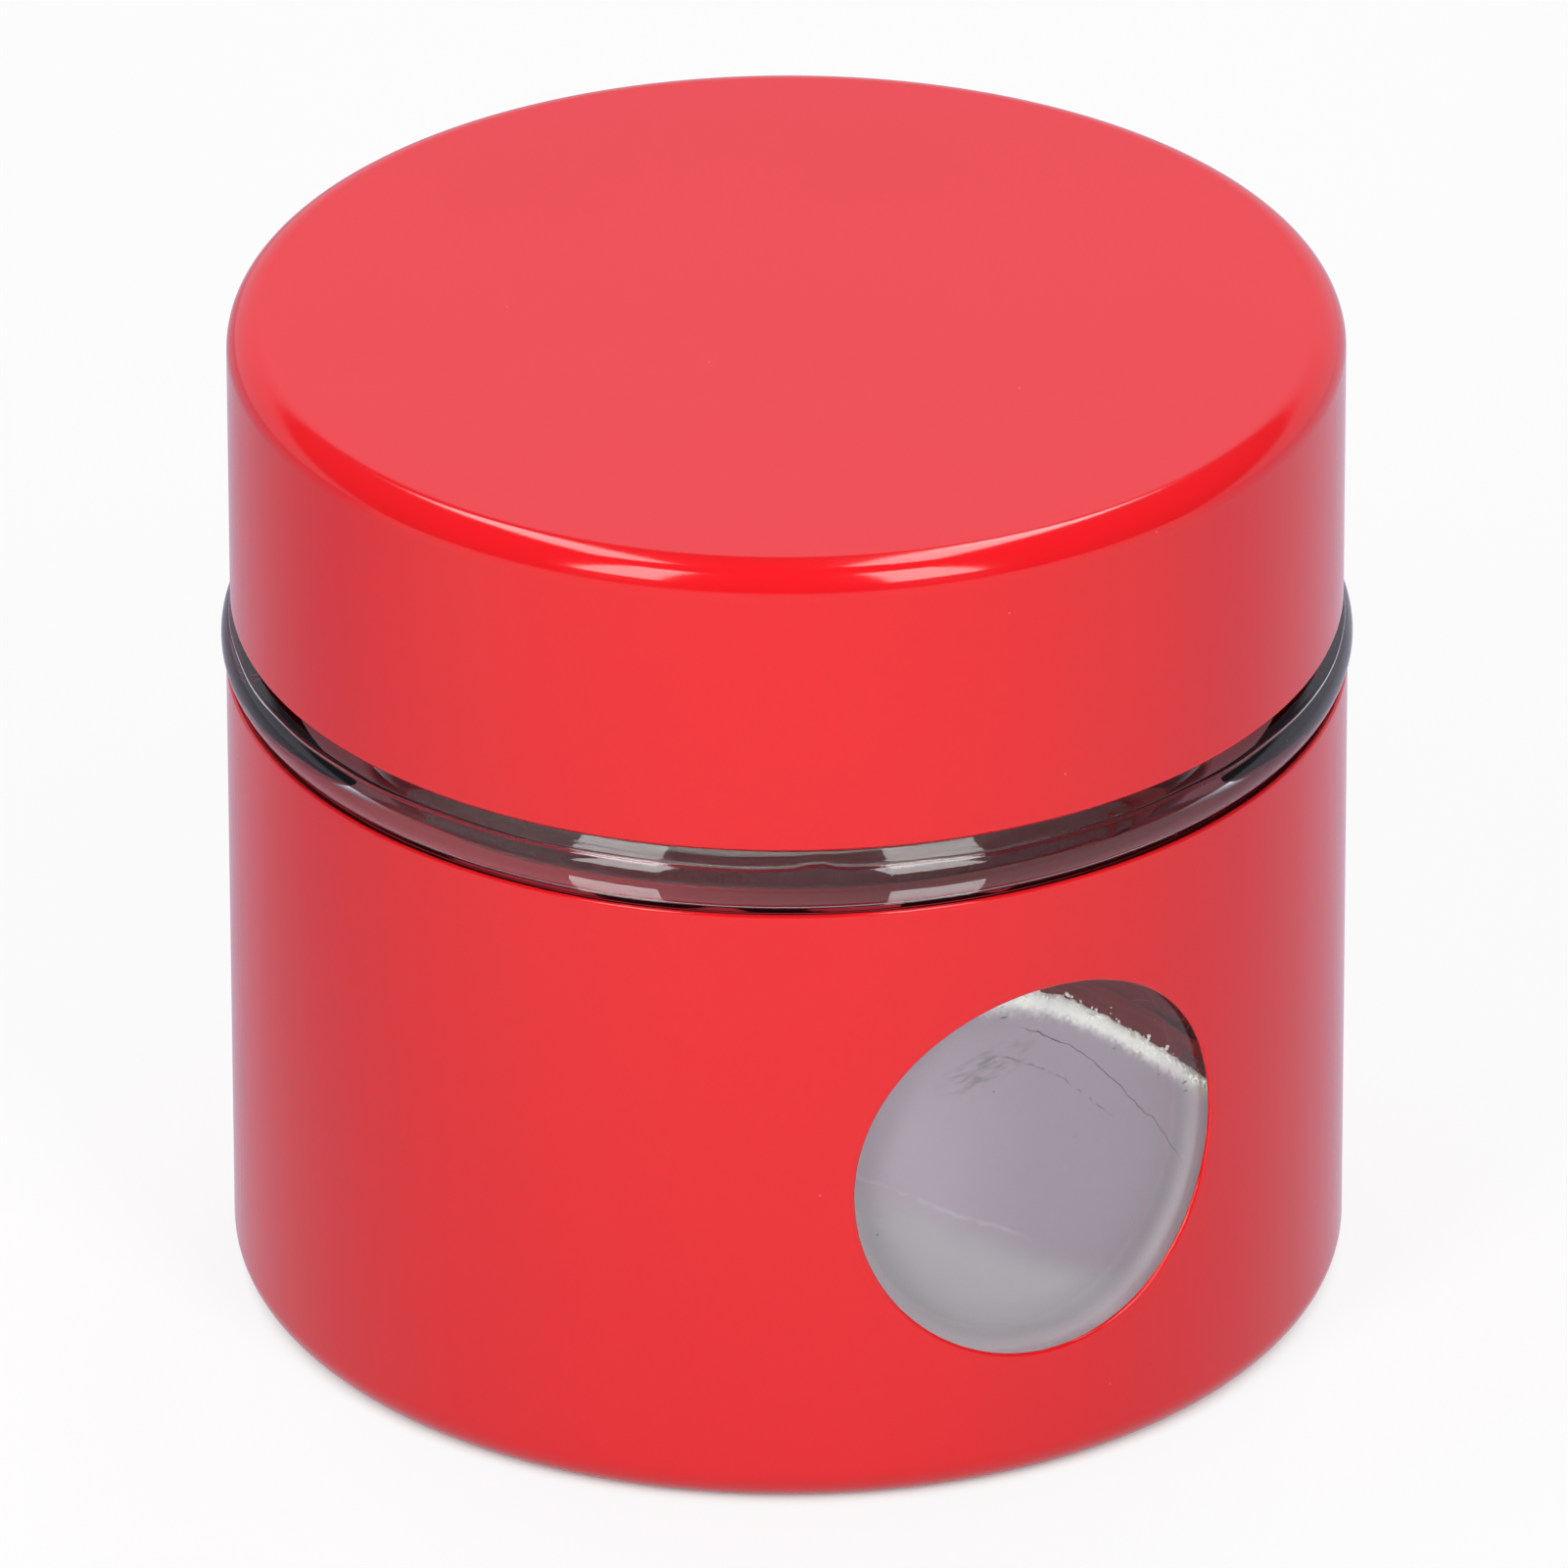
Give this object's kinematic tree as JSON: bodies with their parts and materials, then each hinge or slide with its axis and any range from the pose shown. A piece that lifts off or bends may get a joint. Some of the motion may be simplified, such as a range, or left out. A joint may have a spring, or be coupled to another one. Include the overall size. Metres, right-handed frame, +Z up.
{
  "type": "tea canister",
  "caption": "Round glass canister in a glossy red painted steel sleeve with a viewing window, closed by a matching screw lid and part filled with fine powder.",
  "frame": {"origin": "on the table, at the middle of the canister's base", "axes": "+Z up along the canister's axis, the sleeve's window faces -Y, and the powder's slope falls towards +X and +Y"},
  "size_m": [0.0968, 0.0968, 0.0894],
  "materials": {
    "glass": "gloss",
    "red_paint": "gloss",
    "insert_plastic": "satin",
    "seal_rubber": "satin",
    "powder": "matte"
  },
  "bodies": {
    "jar": {"glass_jar": "glass", "body_sleeve": "red_paint", "powder_fill": "powder"},
    "seal": {"lid_seal": "seal_rubber"},
    "lid": {"lid_shell": "red_paint", "lid_insert": "insert_plastic"}
  },
  "joints": [
    {"name": "lid_rise", "type": "slide", "parent": "jar", "child": "seal", "axis": [0, 0, 1], "range_m": [0, 0.024]},
    {"name": "lid_turn", "type": "hinge", "parent": "seal", "child": "lid", "pos_m": [0, 0, 0.075], "axis": [0, 0, 1], "range_deg": [0, 480]}
  ],
  "couplings": [
    {"joint": "lid_rise", "follows": "lid_turn", "m_per_rad": 0.0028648}
  ]
}
